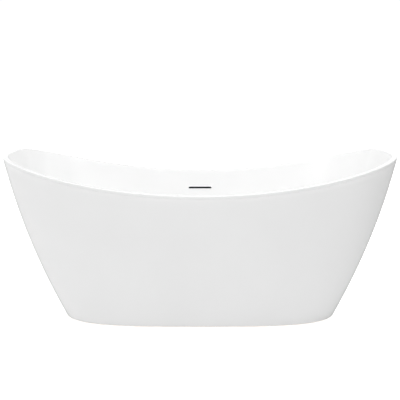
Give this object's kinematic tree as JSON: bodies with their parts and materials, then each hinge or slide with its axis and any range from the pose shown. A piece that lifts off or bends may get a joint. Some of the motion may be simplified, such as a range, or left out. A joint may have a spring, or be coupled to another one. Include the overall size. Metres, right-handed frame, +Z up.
{
  "type": "freestanding bathtub",
  "caption": "Double-ended slipper bathtub with raised ends, a dipped rim, a slot overflow, a pop-up waste and levelling feet under a one-piece skirt.",
  "frame": {"origin": "centre of the footprint, on the floor under the feet", "axes": "+X along the tub, +Y across it towards the overflow, +Z up"},
  "size_m": [1.7, 0.78, 0.72],
  "materials": {
    "white_acrylic": "polished white acrylic",
    "bonding_resin": "cured resin",
    "plywood": "raw plywood",
    "frame_steel": "black powder coat",
    "black_plastic": "moulded",
    "zinc_steel": "zinc plated",
    "spring_steel": "bright wire",
    "chrome": "polished",
    "brass": "turned",
    "rubber": "matte",
    "white_plastic": "moulded",
    "hose_plastic": "corrugated"
  },
  "bodies": {
    "root": {"basin": "white_acrylic", "skirt": "white_acrylic", "rim_bond": "bonding_resin", "skirt_strip": "plywood", "floor_board": "plywood", "rail_front": "frame_steel", "rail_back": "frame_steel", "crossmember_1": "frame_steel", "crossmember_2": "frame_steel", "crossmember_3": "frame_steel", "crossmember_4": "frame_steel", "rail_end_caps": "black_plastic", "frame_brackets": "zinc_steel", "frame_screws": "zinc_steel", "foot_weld_nuts": "zinc_steel", "foot_lock_nuts": "zinc_steel", "drain_body": "chrome", "drain_washer_upper": "rubber", "drain_washer_lower": "rubber", "drain_nut": "brass", "plug_cartridge": "brass", "plug_spring": "spring_steel", "waste_tee": "white_plastic", "tailpiece": "chrome", "slip_washer": "rubber", "slip_nut": "white_plastic", "overflow_trim": "chrome", "overflow_gasket": "rubber", "overflow_box": "black_plastic", "overflow_hose": "hose_plastic", "hose_clamps": "zinc_steel"},
    "plug": {"plug_cap": "chrome", "plug_seal": "rubber", "plug_plunger": "brass"},
    "front_left_foot": {"foot_front_left_pad": "black_plastic", "foot_front_left_stud": "zinc_steel"},
    "front_right_foot": {"foot_front_right_pad": "black_plastic", "foot_front_right_stud": "zinc_steel"},
    "back_left_foot": {"foot_back_left_pad": "black_plastic", "foot_back_left_stud": "zinc_steel"},
    "back_right_foot": {"foot_back_right_pad": "black_plastic", "foot_back_right_stud": "zinc_steel"}
  },
  "joints": [
    {"name": "plug_lift", "type": "slide", "parent": "root", "child": "plug", "axis": [0, 0, 1], "range_m": [0, 0.009], "deforming": ["plug_spring"]},
    {"name": "front_left_level", "type": "slide", "parent": "root", "child": "front_left_foot", "axis": [0, 0, -1], "range_m": [-0.003, 0.012]},
    {"name": "front_right_level", "type": "slide", "parent": "root", "child": "front_right_foot", "axis": [0, 0, -1], "range_m": [-0.003, 0.012]},
    {"name": "back_left_level", "type": "slide", "parent": "root", "child": "back_left_foot", "axis": [0, 0, -1], "range_m": [-0.003, 0.012]},
    {"name": "back_right_level", "type": "slide", "parent": "root", "child": "back_right_foot", "axis": [0, 0, -1], "range_m": [-0.003, 0.012]}
  ]
}
